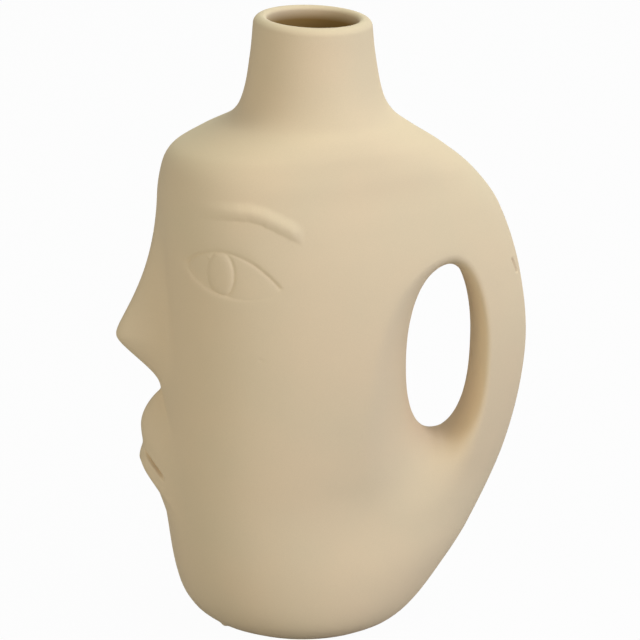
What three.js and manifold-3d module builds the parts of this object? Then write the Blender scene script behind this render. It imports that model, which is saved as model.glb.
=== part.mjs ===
// Earthenware face vase: two moulded halves, a thrown neck, a base slab,
// applied brows and irises, and a glaze coat inside.
// Millimetres. +Z is up, the foot stands on z = 0, the neck is on the Z axis,
// the face looks toward -X and the handle is at +X.
import * as THREE from 'three';
import { mergeVertices } from 'three/addons/utils/BufferGeometryUtils.js';
import Module from 'manifold-3d';

const wasm = await Module();
wasm.setup();

// Overall sizes, with the reaches measured from the neck's axis
const HEIGHT = 262;
const FACE_REACH = 66.5;
const BACK_REACH = 91.4;
const HALF_WIDTH = 63;
const WALL = 6;

// Neck and mouth
const NECK_HEIGHT = 34;
const MOUTH_RADIUS = 19;
const RIM_WALL = 5.3;
const NECK_FLARE = 5;

// Base slab
const SLAB = 7;

// Handle and the finger gap in front of it
const HANDLE = 21.6;
const HANDLE_PINCH = 0.66;
const GAP_WIDTH = 30.5;
const GAP_HEIGHT = 75.8;
const GAP_MIDDLE = 117.4;
const GAP_LEAN = 0.029;
const GAP_BLUNT = 0.82;
const GAP_WALL = 0.6;
const GAP_ROUND = 11.5;
const GAP_ROUND_SHIFT = 0.64;
const GAP_SCOOP = 18;
const SCOOP_TURN = 38;

// Nose and lips, stacked down from the shoulder
const NOSE_DROP = 99;
const NOSE_LENGTH = 43;
const NOSE_UNDER = 23;
const NOSE_REACH = 17.9;
const NOSE_HALF = 14;
const UPPER_LIP = 24;
const LOWER_LIP = 28.5;
const LIP_REACH = 9.8;
const LIP_HALF = 13;
const MOUTH_DROOP = 1.1;
const MOUTH_BEND = 2;

// Eye, iris and brow as seen from the side: set back from the face, up from the nose tip
const EYE_SETBACK = 10.2;
const EYE_RISE = 36.6;
const EYE_LENGTH = 36.3;
const EYE_TILT = 6.6;
const EYE_LID = 10.9;
const EYE_POUCH = 9.1;
const EYE_DEPTH = 1.8;
const IRIS_FROM_FRONT = 12.9;
const IRIS_HALF = 5.5;
const IRIS_THICK = 0.9;
const BROW_SETBACK = 10.5;
const BROW_RISE = 56;
const BROW_LENGTH = 44.5;
const BROW_TILT = 6.5;
const BROW_ARCH = 11.8;
const BROW_DEEP = 7.2;
const BROW_PROUD = 1.8;

// Inside: higher under the roof, held off the handle
const ROOF_LIFT = 4;
const REAR_WALL = 20;
const INSIDE_PINCH = 0.3;

// Clearance between pieces, and the glaze coat
const CLEAR = 0.3;
const COAT = 0.6;

// Facets on each side of the face, and the spacing of the rings
const SKIN_FACETS = 30;
const INSIDE_FACETS = 11;
const GAP_FACETS = 20;
const GAP_STEPS = 5;
const NECK_FACETS = 44;
const FACE_ROW = 3.3;
const PLAIN_ROW = 6;
const INSIDE_ROW = 16;

const SHOULDER = HEIGHT - NECK_HEIGHT;
const RIM_RADIUS = MOUTH_RADIUS + RIM_WALL;
const NECK_ROOT = RIM_RADIUS + NECK_FLARE;
const NECK_WAIST = RIM_RADIUS + NECK_FLARE / 3;
const GAP_CENTRE = BACK_REACH - HANDLE - GAP_WIDTH / 2;
const NOSE_TIP = SHOULDER - NOSE_DROP;
const NOSE_TOP = NOSE_TIP + NOSE_LENGTH;
const LIP_TOP = NOSE_TIP - NOSE_UNDER;
const MOUTH_LINE = LIP_TOP - UPPER_LIP;
const LIP_FOOT = MOUTH_LINE - LOWER_LIP;

// Lines of the body from foot to shoulder: height, face, back and half width as shares of their sizes
const LINES = [
  [0.000, 0.580, 0.335, 0.490],
  [0.011, 0.680, 0.402, 0.575],
  [0.035, 0.785, 0.476, 0.660],
  [0.079, 0.868, 0.570, 0.735],
  [0.175, 0.930, 0.738, 0.835],
  [0.329, 0.970, 0.912, 0.940],
  [0.509, 0.985, 1.000, 1.000],
  [0.658, 1.000, 0.968, 1.000],
  [0.789, 0.990, 0.862, 0.950],
  [0.860, 0.968, 0.732, 0.860],
  [0.908, 0.890, 0.585, 0.740],
  [0.939, 0.712, 0.463, 0.630],
  [0.965, 0.520, 0.375, 0.530],
].map(([z, face, back, half]) => ({
  z: z * SHOULDER,
  face: face * FACE_REACH,
  back: back * BACK_REACH,
  half: half * HALF_WIDTH,
}));

// Lines of the round neck
const circle = (z, radius) => ({ z, face: radius, back: radius, half: radius });
LINES.push(
  circle(SHOULDER, NECK_ROOT),
  circle(SHOULDER + NECK_HEIGHT / 2, NECK_WAIST),
  circle(HEIGHT, RIM_RADIUS),
);

const clamp = THREE.MathUtils.clamp;
const soft = (s) => THREE.MathUtils.smoothstep(s, 0, 1);
const round = (s) => Math.sin((clamp(s, 0, 1) * Math.PI) / 2);
const full = (s, power) => Math.sign(s) * Math.abs(s) ** power;

// Slope of one line at one station
function slope(name, i) {
  const a = LINES[Math.max(i - 1, 0)];
  const b = LINES[Math.min(i + 1, LINES.length - 1)];
  return (b[name] - a[name]) / (b.z - a.z);
}

// One line of the body at height z, a smooth curve through its stations
function line(name, z) {
  let i = 0;
  while (i < LINES.length - 2 && z > LINES[i + 1].z) i += 1;
  const a = LINES[i];
  const b = LINES[i + 1];
  const h = b.z - a.z;
  const t = clamp((z - a.z) / h, 0, 1);
  const t2 = t * t;
  const t3 = t2 * t;
  const bend = (t3 - 2 * t2 + t) * slope(name, i) + (t3 - t2) * slope(name, i + 1);
  return a[name] * (2 * t3 - 3 * t2 + 1) + b[name] * (3 * t2 - 2 * t3) + bend * h;
}

// Share of the handle in a section: none at the oval foot or at the round neck
const tail = (z) => soft(z / (0.3 * SHOULDER)) * (1 - soft((z / SHOULDER - 0.7) / 0.3) ** 3);

// How much a section narrows toward the handle, with c running from 1 at the face to -1 at the back
const narrowing = (c, z, pinch) => 1 - pinch * tail(z) * ((1 - c) / 2) ** 1.2;

// How far the nose stands out from the face at height z
function nose(z) {
  if (z > NOSE_TIP) return NOSE_REACH * clamp((NOSE_TOP - z) / NOSE_LENGTH, 0, 1) ** 1.37;
  return NOSE_REACH * soft((z - LIP_TOP) / NOSE_UNDER);
}

// How far the lips stand out from the face at height z
function lips(z) {
  const crest = MOUTH_LINE + 0.26 * UPPER_LIP;
  const pout = MOUTH_LINE - 0.23 * LOWER_LIP;
  const parting = 0.8 - (crest - pout) / (2 * UPPER_LIP);
  let upper = round((LIP_TOP - z) / (LIP_TOP - crest)) ** 1.2;
  if (z < crest) upper = round(1 - (crest - z) * (1 - parting) / (crest - MOUTH_LINE));
  let lower = soft((z - LIP_FOOT) / (pout - LIP_FOOT));
  if (z > pout) lower = round(1 - (z - pout) * (1 - parting) / (MOUTH_LINE - pout));
  return LIP_REACH * Math.max(0.93 * upper, lower);
}

// Nose and lips together at a point of the face
function relief(y, z) {
  const across = Math.abs(y);
  const wide = NOSE_HALF * (1 - 0.4 * clamp((z - NOSE_TIP) / NOSE_LENGTH, 0, 1));
  const ridge = nose(z) * (1 - soft(across / wide));
  const level = z + MOUTH_DROOP * (Math.hypot(across, MOUTH_BEND) - MOUTH_BEND);
  const crisp = Math.sqrt(1 - clamp(across / LIP_HALF, 0, 1) ** 2);
  const gentle = 1 - soft(across / (1.4 * LIP_HALF));
  const low = soft((MOUTH_LINE + 0.2 * UPPER_LIP - level) / (0.5 * LOWER_LIP));
  return Math.max(ridge, lips(level) * THREE.MathUtils.lerp(crisp, gentle, low));
}

// Point of the outer skin at angle u round the body, 0 at the face, moved out by grow
function skinPoint(u, z, grow) {
  const face = line('face', z) + grow;
  const back = line('back', z) + grow;
  const y = -(line('half', z) + grow) * Math.sin(u) * narrowing(Math.cos(u), z, HANDLE_PINCH);
  const x = (back - face - (back + face) * Math.cos(u)) / 2;
  return new THREE.Vector3(Math.cos(u) > 0 ? x - relief(y, z) : x, y, z);
}

// Half thickness of the body at a place seen from the side
function sideAt(x, z) {
  const face = line('face', z);
  const back = line('back', z);
  const c = clamp((back - face - 2 * x) / (back + face), -1, 1);
  return line('half', z) * Math.sqrt(1 - c * c) * narrowing(c, z, HANDLE_PINCH);
}

// Point of the inside at angle u, a wall's thickness within the skin and clear of the finger gap
function insidePoint(u, z, shrink) {
  const level = Math.min(z + ROOF_LIFT * soft(2 * z / SHOULDER - 0.5), HEIGHT);
  const thick = WALL + shrink;
  const past = Math.abs(z - GAP_MIDDLE) - GAP_HEIGHT / 2;
  const beside = 1 - soft((past + WALL) / (5 * WALL));
  const held = REAR_WALL * tail(z) + (HANDLE + GAP_WIDTH - REAR_WALL) * beside;
  const face = line('face', level) - thick;
  const back = line('back', level) - thick - held;
  const x = (back - face - (back + face) * Math.cos(u)) / 2;
  const tilt = (sideAt(x + CLEAR, level) - sideAt(x - CLEAR, level)) / (2 * CLEAR);
  const most = sideAt(x, level) - thick * Math.hypot(1, tilt);
  const half = (line('half', level) - thick) * narrowing(Math.cos(u), level, INSIDE_PINCH);
  const own = half * Math.abs(Math.sin(u));
  const y = clamp(most, 0.2 * own, own);
  return new THREE.Vector3(x, -Math.sign(Math.sin(u)) * y, z);
}

// Closed solid through a stack of rings with a flat fan at each end, alike on both sides of the face
function stack(rings) {
  const n = rings[0].length;
  const points = rings.flat();
  const index = [];
  for (let r = 0; r + 1 < rings.length; r += 1) {
    for (let i = 0; i < n; i += 1) {
      const a = r * n + i;
      const b = r * n + ((i + 1) % n);
      if (i < n / 2) index.push(a, b, a + n, b, b + n, a + n);
      else index.push(a, b, b + n, a, b + n, a + n);
    }
  }
  [0, rings.length - 1].forEach((r) => {
    const middle = new THREE.Vector3();
    rings[r].forEach((p) => middle.addScaledVector(p, 1 / n));
    points.push(middle);
    for (let i = 0; i < n; i += 1) {
      const a = r * n + i;
      const b = r * n + ((i + 1) % n);
      index.push(...(r === 0 ? [b, a] : [a, b]), points.length - 1);
    }
  });
  return new THREE.BufferGeometry().setFromPoints(points).setIndex(index);
}

// Body for joining and cutting
function solid(geometry) {
  const bare = geometry.clone();
  bare.deleteAttribute('normal');
  bare.deleteAttribute('uv');
  const merged = mergeVertices(bare, 1e-4);
  const mesh = new wasm.Mesh({
    numProp: 3,
    vertProperties: new Float32Array(merged.attributes.position.array),
    triVerts: new Uint32Array(merged.index.array),
  });
  return new wasm.Manifold(mesh);
}

// Back from a body to a geometry
function surface(body) {
  const mesh = body.getMesh();
  const geometry = new THREE.BufferGeometry();
  geometry.setAttribute('position', new THREE.BufferAttribute(mesh.vertProperties, 3));
  return geometry.setIndex(new THREE.BufferAttribute(mesh.triVerts, 1));
}

// Same shape on the other side of the face
function mirrored(geometry) {
  const other = geometry.clone().scale(1, -1, 1);
  const index = Array.from(other.index.array);
  for (let i = 0; i < index.length; i += 3) {
    [index[i], index[i + 1]] = [index[i + 1], index[i]];
  }
  return other.setIndex(index);
}

// Heights of the rings, closest over the nose and lips and where the lines bend
function heights(from, to, plain, face = plain) {
  const marks = [from, ...LINES.map((l) => l.z).filter((z) => z > from && z < to), to];
  const list = [];
  for (let i = 0; i + 1 < marks.length; i += 1) {
    const step = marks[i + 1] > LIP_FOOT && marks[i] < NOSE_TOP ? face : plain;
    const count = Math.max(1, Math.round((marks[i + 1] - marks[i]) / step));
    const rise = (marks[i + 1] - marks[i]) / count;
    for (let k = 0; k < count; k += 1) list.push(marks[i] + k * rise);
  }
  list.push(to);
  return list;
}

// Angles round the body, closest at the face
function angles(facets) {
  return Array.from({ length: 2 * facets }, (_, i) => {
    const v = (Math.PI * i) / facets;
    return v - 0.6 * Math.sin(v);
  });
}

// Outer skin as a full body from the foot to the shoulder
function skin(grow) {
  const turn = angles(SKIN_FACETS);
  const levels = heights(0, SHOULDER, PLAIN_ROW, FACE_ROW);
  return solid(stack(levels.map((z) => turn.map((u) => skinPoint(u, z, grow)))));
}

// Inside of the vase as a full body
function inside(shrink, from, to) {
  const turn = angles(INSIDE_FACETS);
  const levels = heights(from, to, INSIDE_ROW);
  return solid(stack(levels.map((z) => turn.map((u) => insidePoint(u, z, shrink)))));
}

// Finger gap: narrow in the middle, rolling out onto both sides and widest in the scoop below it
function fingerGap() {
  const lean = THREE.MathUtils.degToRad(SCOOP_TURN);
  const scoop = new THREE.Vector2(-Math.sin(lean), -Math.cos(lean));
  const rings = [];
  for (let k = GAP_STEPS + 1; k >= -GAP_STEPS - 1; k -= 1) {
    const bend = (clamp(k / GAP_STEPS, -1, 1) * Math.PI) / 2;
    const ring = [];
    for (let i = 0; i < 2 * GAP_FACETS; i += 1) {
      const a = (Math.PI * i) / GAP_FACETS;
      const way = new THREE.Vector2(Math.cos(a) / GAP_WIDTH, Math.sin(a) / GAP_HEIGHT).normalize();
      const toward = (1 + way.dot(scoop)) / 2;
      const wide = GAP_ROUND * (1 - GAP_ROUND_SHIFT * way.x) + GAP_SCOOP * toward ** 4;
      const out = wide * (1 - Math.cos(bend));
      const end = Math.sin(a) < 0 ? GAP_BLUNT : 1;
      const up = (GAP_HEIGHT / 2) * full(Math.sin(a), end) + out * way.y;
      const x = GAP_CENTRE + (GAP_WIDTH / 2) * full(Math.cos(a), end) + out * way.x + GAP_LEAN * up;
      const z = GAP_MIDDLE + up;
      const rise = Math.abs(Math.sin(bend)) ** (1 - GAP_WALL * ((1 + way.x) / 2) ** 2);
      const side = Math.abs(k) > GAP_STEPS ? 2 * HALF_WIDTH : sideAt(x, z) * rise;
      ring.push(new THREE.Vector3(x, Math.sign(k) * side, z));
    }
    rings.push(ring);
  }
  return solid(stack(rings));
}

// Leaf between two ends, with the bend of its two edges measured up from its middle
function leaf(from, to, upper, lower) {
  const middle = from.clone().lerp(to, 0.5);
  const across = new THREE.Vector2(from.y - to.y, to.x - from.x).normalize();
  const over = middle.clone().addScaledVector(across, 2 * upper);
  const under = middle.clone().addScaledVector(across, 2 * lower);
  const shape = new THREE.Shape();
  shape.moveTo(from.x, from.y);
  shape.quadraticCurveTo(over.x, over.y, to.x, to.y);
  shape.quadraticCurveTo(under.x, under.y, from.x, from.y);
  return shape;
}

// Outline drawn on the left side of the head, pushed through it from the middle outward
function punch(shape) {
  const block = new THREE.ExtrudeGeometry(shape, {
    depth: 2 * HALF_WIDTH,
    bevelEnabled: false,
    curveSegments: 10,
  });
  return solid(block.rotateX(Math.PI / 2));
}

// Eye: an almond sunk into the skin, and the iris that sits in it
const eyeFront = new THREE.Vector2(EYE_SETBACK - FACE_REACH, NOSE_TIP + EYE_RISE);
const eyeBack = new THREE.Vector2(eyeFront.x + EYE_LENGTH, eyeFront.y - EYE_TILT);
const eyeShape = leaf(eyeFront, eyeBack, EYE_LID, -EYE_POUCH);
const eyeball = leaf(eyeFront, eyeBack, EYE_LID - 2 * CLEAR, 2 * CLEAR - EYE_POUCH);
const irisMiddle = eyeFront.clone().lerp(eyeBack, IRIS_FROM_FRONT / EYE_LENGTH);
const irisTop = new THREE.Vector2(irisMiddle.x, irisMiddle.y + EYE_LID);
const irisFoot = new THREE.Vector2(irisMiddle.x, irisMiddle.y - EYE_POUCH);
const irisShape = leaf(irisTop, irisFoot, IRIS_HALF, -IRIS_HALF);

// Brow: a strip of clay over the eye
const browFront = new THREE.Vector2(BROW_SETBACK - FACE_REACH, NOSE_TIP + BROW_RISE);
const browBack = new THREE.Vector2(browFront.x + BROW_LENGTH, browFront.y - BROW_TILT);
const browShape = leaf(browFront, browBack, BROW_ARCH, BROW_ARCH - BROW_DEEP);

// Moulded half: the skin on one side of the face, less the inside, the finger gap and the sunk eye
const body = skin(0);
const leftHalf = body
  .trimByPlane([0, -1, 0], 0)
  .trimByPlane([0, 0, 1], SLAB)
  .subtract(inside(0, SLAB - CLEAR, HEIGHT))
  .subtract(fingerGap())
  .subtract(punch(eyeShape).subtract(skin(-EYE_DEPTH)));

// Brow and iris, each laid on the skin below it
const leftBrow = punch(browShape).intersect(skin(CLEAR + BROW_PROUD)).subtract(skin(CLEAR));
const leftIris = punch(irisShape)
  .intersect(punch(eyeball))
  .intersect(skin(CLEAR + IRIS_THICK - EYE_DEPTH))
  .subtract(skin(CLEAR - EYE_DEPTH));

// Base slab, flat underneath, that closes the halves from below
const slab = body.trimByPlane([0, 0, -1], -SLAB);

// Neck from its root up the outside, over the rolled rim and down the inside
const roll = RIM_WALL / 2;
const levels = heights(SHOULDER, HEIGHT - roll, PLAIN_ROW);
const profile = levels.map((z) => new THREE.Vector2(line('face', z), z - SHOULDER));
const crown = profile.at(-1).clone().sub(new THREE.Vector2(roll, 0));
for (let a = Math.PI / 6; a < 1.01 * Math.PI; a += Math.PI / 6) {
  profile.push(new THREE.Vector2(crown.x + roll * Math.cos(a), crown.y + roll * Math.sin(a)));
}
profile.push(new THREE.Vector2(NECK_ROOT - WALL, 0), profile[0].clone());
const neck = new THREE.LatheGeometry(profile, NECK_FACETS);

// Glaze coat over the inside of the body
const coat = inside(CLEAR, SLAB + CLEAR, SHOULDER - CLEAR)
  .subtract(inside(CLEAR + COAT, SLAB + CLEAR + COAT, SHOULDER));

const bisque = new THREE.MeshStandardMaterial({ color: '#d3bf9f', roughness: 0.9, metalness: 0 });
const glaze = new THREE.MeshStandardMaterial({ color: '#a98f6b', roughness: 0.35, metalness: 0 });

// Named piece of the vase
function piece(name, geometry, material) {
  geometry.computeVertexNormals();
  const mesh = new THREE.Mesh(geometry, material);
  mesh.name = name;
  return mesh;
}

// Head: both halves on their base slab, with the features laid on the skin
const features = new THREE.Group();
features.add(
  piece('left_brow', surface(leftBrow), bisque),
  piece('right_brow', mirrored(surface(leftBrow)), bisque),
  piece('left_iris', surface(leftIris), bisque),
  piece('right_iris', mirrored(surface(leftIris)), bisque),
);
const head = new THREE.Group();
head.add(
  piece('left_half', surface(leftHalf), bisque),
  piece('right_half', mirrored(surface(leftHalf)), bisque),
  piece('base_slab', surface(slab), bisque),
  piece('glaze_lining', surface(coat), glaze),
  features,
);

// Neck stood upright on the shoulder
const collar = piece('neck_collar', neck, bisque);
collar.rotation.x = Math.PI / 2;
collar.position.z = SHOULDER;

const vase = new THREE.Group();
vase.name = 'face_vase';
vase.add(head, collar);

export default vase;
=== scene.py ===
"""Fired look of the earthenware face vase: one clay skin, its glaze lining and a pale studio."""

import math

import bmesh
import bpy
import numpy as np
from bpy.props import FloatProperty, FloatVectorProperty, IntProperty, PointerProperty
from mathutils import Matrix, Vector


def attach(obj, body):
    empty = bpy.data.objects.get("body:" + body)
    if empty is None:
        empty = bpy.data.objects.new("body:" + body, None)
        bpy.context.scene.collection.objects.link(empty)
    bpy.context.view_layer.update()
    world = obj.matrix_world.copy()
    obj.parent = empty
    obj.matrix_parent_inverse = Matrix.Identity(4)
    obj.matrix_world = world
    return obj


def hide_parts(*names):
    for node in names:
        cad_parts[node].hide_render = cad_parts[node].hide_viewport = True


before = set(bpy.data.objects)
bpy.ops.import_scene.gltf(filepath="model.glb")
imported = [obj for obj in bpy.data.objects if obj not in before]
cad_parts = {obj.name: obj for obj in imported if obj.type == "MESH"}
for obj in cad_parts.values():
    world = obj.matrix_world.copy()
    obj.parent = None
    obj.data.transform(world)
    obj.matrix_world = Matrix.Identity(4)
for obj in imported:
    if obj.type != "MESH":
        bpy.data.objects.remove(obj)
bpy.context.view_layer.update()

bl_info = {
    "name": "Earthenware face vase",
    "version": (1, 0, 0),
    "blender": (4, 5, 0),
    "location": "3D View > Sidebar > Vase",
    "description": "Models the fired clay body, the glaze lining and a studio for a face vase",
    "category": "Object",
}

CLAY_NODES = (
    "left_half",
    "right_half",
    "neck_collar",
    "base_slab",
    "left_brow",
    "right_brow",
    "left_iris",
    "right_iris",
)

# Body, in metres, with the reaches measured from the neck's axis
HEIGHT = 0.262
FACE_REACH = 0.0665
BACK_REACH = 0.0913
HALF_WIDTH = 0.0628
WALL = 0.006
NECK_HEIGHT = 0.034
MOUTH_RADIUS = 0.019
RIM_WALL = 0.0053
NECK_FLARE = 0.005
SLAB = 0.007
SHOULDER = HEIGHT - NECK_HEIGHT
RIM_RADIUS = MOUTH_RADIUS + RIM_WALL
NECK_ROOT = RIM_RADIUS + NECK_FLARE
NECK_WAIST = RIM_RADIUS + NECK_FLARE / 3
RIM_DROP = 0.0034
RIM_CROWN = 0.0036
RIM_ROLL = 0.0019
ROOF_LIFT = 0.004
REAR_WALL = 0.020
INSIDE_PINCH = 0.3
CLEAR = 0.0003
COAT = 0.0006
# Dark tint inside the neck, part glaze lining and part painted shade of the bore, fading in below the rim
SHADED_GLAZE_DROP = 0.0009
SHADED_GLAZE_FADE = 0.0040
RIM_SLANT = 0.0011
SLANT_TURN = math.radians(-49)

# Handle and finger gap
HANDLE = 0.0220
HANDLE_PINCH = 0.66
PINCH_EASE = 1.2
TAIL_FADE = 0.3
TAIL_END = 0.7
GAP_WIDTH = 0.0301
GAP_HEIGHT = 0.0764
GAP_MIDDLE = 0.1182
GAP_CENTRE = BACK_REACH - HANDLE - GAP_WIDTH / 2
GAP_LEAN = 0.022
GAP_BLUNT = 0.82
GAP_WALL = 0.4
GAP_ROUND = 0.0080
GAP_TIGHTEN = 0.4
GAP_SCOOP = 0.027
SCOOP_TURN = math.radians(38)

# Nose and lips, stacked down from the shoulder
NOSE_DROP = 0.099
NOSE_TIP = SHOULDER - NOSE_DROP
NOSE_LENGTH = 0.0608
NOSE_UNDER = 0.0251
NOSE_REACH = 0.0215
NOSE_HALF = 0.018
NOSE_ROUND = 0.00315
NOSE_NARROWING = 0.4
NOSE_EASE = 1.3
UNDER_SLOPE = 0.66
UNDER_START = 0.178
UNDER_BEND = 0.184
LIP_TOP = NOSE_TIP - NOSE_UNDER
UPPER_LIP = 0.02354
LOWER_LIP = 0.02147
MOUTH_LINE = LIP_TOP - UPPER_LIP
LIP_FOOT = MOUTH_LINE - LOWER_LIP
LIP_REACH = 0.0103
LIP_HALF = 0.013
LIP_SPREAD = 1.7 * LIP_HALF
LIP_CREST = MOUTH_LINE + 0.32 * UPPER_LIP
LIP_POUT = MOUTH_LINE - 0.3 * LOWER_LIP
UPPER_SHARE = 0.908
UPPER_SWELL, UPPER_FALL, UPPER_FALL_EASE = 0.757, 0.091, 1.6
LOWER_SWELL, LOWER_FALL, LOWER_FALL_EASE = 1.8, 0.173, 1.55
MOUTH_DROOP = 1.25
MOUTH_BEND = 0.0035
MOUTH_FILL = 0.12
FILL_START = 0.006
SLIT_WIDTH = 0.00055
SLIT_START = 0.003
SLIT_END = 0.014
SLIT_FADE_IN, SLIT_FADE_OUT = 0.005, 0.0035

# Eye and brow as seen from the side: corner, corner and the ellipse of the iris
EYE_FRONT = (-0.0559, 0.1660)
EYE_BACK = (-0.0200, 0.1588)
IRIS_MIDDLE = (-0.0434, 0.1639)
IRIS_HALF = (0.0052, 0.0094)
IRIS_LINE = 0.0004
UPPER_LID = 0.0315
LOWER_LID = 0.0185
LID_RIM_OFF = 0.0016
LID_RIM_FADE = 0.003
LIDS_BLEND = 0.002
GROOVE_FADE_IN = 0.00035
GROOVE_FADE_OUT, GROOVE_FADE_LESS = 0.0013, 0.0007
SINK_FADE = 0.0010
SCORE_FADE = 0.0005
DOME_OFF_UPPER, DOME_OFF_LOWER = 0.0011, 0.0009
IRIS_LINE_OFF = 0.0008
CRUMB = (-0.0476, 0.1699)
CRUMB_HIGH = 0.00035
CRUMB_WIDTH = 0.0005
BROW_FRONT = -0.0550
BROW_BACK = -0.0092
BROW_KNEE = (-0.0300, 0.18575)
BROW_SLOPE = 0.25
BROW_ARCH = 0.30
BROW_ROUND = 0.004
BROW_DEEP = 0.0082
BROW_CREST = 0.0032
BROW_FADE_FRONT = 0.021
BROW_FADE_BACK = 0.006
BROW_SPARE = 0.006
BROW_RAGGED = ((0.00012, 1350, 1), (0.00008, 2500, 0))

# Nicks of the making as seen from the side, and how near to or far from the middle plane they lie
PIT = (-0.0281, 0.1290)
SCRATCH = ((0.0840, 0.1562), (0.0853, 0.1534), (0.0863, 0.1505))
BURR = (-0.0408, 0.0036)
PIT_WIDTH, SCRATCH_WIDTH, BURR_WIDTH = 0.0006, 0.0004, 0.0011
PIT_DEPTH, SCRATCH_DEPTH, BURR_HIGH = 0.0003, 0.0010, 0.0007
SEAM_HALF, EDGE_HALF, PIT_OUT = 0.002, 0.012, 0.044

# Studio: how far the lamps stand off, the point the camera looks at, the floor and the sky
LAMP_DISTANCE = 1.6
CAMERA_AIM = (0.00304, 0.00042, 0.13083)
FLOOR_GREY = 0.35
FLOOR_WHITE = 0.97
FLOOR_HALF = 4.0
SKY_TINT = (0.65, 0.8, 1.0, 1)

# Flat pattern of a half: a radian's width, the crowding to the face and the easing round the finger gap
FLAT = 0.070
FACE_CROWD = 0.6
GAP_STEPS, EDGE_EASINGS, NEAR_EASINGS = 480, 20, 15
GAP_NEAR = 0.009

# Finer patches and the bounds of the relief; a box is seen from the side: x from and to, z from and to
EYE_CUTS, LIP_CUTS, SLIT_CUTS, MARK_CUTS = 4, 2, 1, 4
EYE_PATCH = (-0.0625, -0.0065, 0.149, 0.2005)
EYE_SIDE = (-0.066, -0.002, 0.145, 0.204)
EYE_TURN, SLIT_TURN = 0.35, 0.8
FACE_FRONT = -0.050
LIP_PATCH = (-FACE_REACH - NOSE_REACH, FACE_FRONT, 0.054, 0.140)
LIP_PATCH_HALF = 0.0155
SLIT_PATCH_START, SLIT_PATCH_HALF = 0.002, 0.0018
PIT_PATCH, BURR_PATCH, SCRATCH_PATCH = 0.002, 0.003, 0.0025

# Rings of the rim, the neck, the inside and the foot, the glaze coat's grid and what counts as equal
CROWN_RINGS, ROLL_RINGS, NECK_RINGS, INSIDE_RINGS = 8, 6, 8, 25
FOOT_RINGS = (0.94, 0.8)
COAT_GRID = 40
SAME_PLACE, SAME_LEVEL = 1e-6, 1e-5

# Lines from foot to shoulder: height, face, back and half width as shares of their sizes
STATIONS = np.array(
    [
        (0.000, 0.580, 0.335, 0.526),
        (0.011, 0.680, 0.402, 0.594),
        (0.035, 0.785, 0.476, 0.668),
        (0.079, 0.868, 0.570, 0.735),
        (0.175, 0.930, 0.738, 0.835),
        (0.329, 0.962, 0.912, 0.940),
        (0.509, 0.959, 1.000, 1.000),
        (0.658, 0.968, 0.968, 1.000),
        (0.789, 0.980, 0.862, 0.950),
        (0.860, 0.960, 0.732, 0.860),
        (0.908, 0.890, 0.585, 0.740),
        (0.939, 0.712, 0.463, 0.630),
        (0.965, 0.520, 0.375, 0.530),
    ]
) * (SHOULDER, FACE_REACH, BACK_REACH, HALF_WIDTH)
STATIONS = np.vstack(
    [
        STATIONS,
        (SHOULDER, NECK_ROOT, NECK_ROOT, NECK_ROOT),
        (SHOULDER + NECK_HEIGHT / 2, NECK_WAIST, NECK_WAIST, NECK_WAIST),
        (HEIGHT, RIM_RADIUS, RIM_RADIUS, RIM_RADIUS),
    ]
)
FACE, BACK, HALF = 1, 2, 3


def soft(share):
    """Smooth step from 0 to 1."""
    s = np.clip(share, 0, 1)
    return s * s * (3 - 2 * s)


def full(share, power):
    """Power of a signed share, fuller than the share below a power of 1."""
    return np.sign(share) * np.abs(share) ** power


def swell(share):
    """Quarter of a sine from 0 to 1."""
    return np.sin(np.clip(share, 0, 1) * math.pi / 2)


def line(column, z):
    """One line of the body at height z, a smooth curve through its stations."""
    levels, values = STATIONS[:, 0], STATIONS[:, column]
    last = len(levels) - 1
    before = np.maximum(np.arange(last + 1) - 1, 0)
    after = np.minimum(np.arange(last + 1) + 1, last)
    slopes = (values[after] - values[before]) / (levels[after] - levels[before])
    i = np.clip(np.searchsorted(levels, z) - 1, 0, last - 1)
    h = levels[i + 1] - levels[i]
    t = np.clip((z - levels[i]) / h, 0, 1)
    keep = 1 + t * t * (2 * t - 3)
    bend = t * (1 - t) * ((1 - t) * slopes[i] - t * slopes[i + 1]) * h
    return keep * values[i] + (1 - keep) * values[i + 1] + bend


def tail(z):
    """Share of the handle in a section: none at the oval foot or at the round neck."""
    return soft(z / (TAIL_FADE * SHOULDER)) * (1 - soft((z / SHOULDER - TAIL_END) / TAIL_FADE) ** 3)


def narrowing(c, z, pinch):
    """How much a section narrows toward the handle."""
    return 1 - pinch * tail(z) * ((1 - c) / 2) ** PINCH_EASE


def nose(z):
    """How far the nose stands out: its bridge and its underside, rounded together at the tip."""
    bridge = NOSE_REACH * np.maximum((NOSE_TIP + NOSE_LENGTH - z) / NOSE_LENGTH, 0) ** 2
    past = (z - LIP_TOP) / NOSE_UNDER - UNDER_START
    under = UNDER_SLOPE * NOSE_REACH * (past + np.hypot(past, UNDER_BEND))
    return np.maximum((bridge + under) / 2 - np.hypot((bridge - under) / 2, NOSE_ROUND), 0)


def lips(z, fill):
    """How far the lips stand out from the face, the line between them filled by a share."""
    past_crest = np.maximum((LIP_CREST - z) / (LIP_CREST - MOUTH_LINE), 0)
    past_pout = np.maximum((z - LIP_POUT) / (MOUTH_LINE - LIP_POUT), 0)
    over = swell((LIP_TOP - z) / (LIP_TOP - LIP_CREST)) ** UPPER_SWELL
    inner = 1 - UPPER_FALL * past_crest**UPPER_FALL_EASE
    under = soft((z - LIP_FOOT) / (LIP_POUT - LIP_FOOT)) ** LOWER_SWELL
    outer = 1 - LOWER_FALL * past_pout**LOWER_FALL_EASE
    upper = UPPER_SHARE * np.where(z < LIP_CREST, inner, over)
    lower = np.maximum(np.where(z > LIP_POUT, outer, under), 0)
    return LIP_REACH * ((upper + lower) / 2 + np.hypot((upper - lower) / 2, fill))


def droop(across):
    """How far the mouth has dropped at a distance from the middle of the face."""
    return MOUTH_DROOP * (np.hypot(across, MOUTH_BEND) - MOUTH_BEND)


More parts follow.
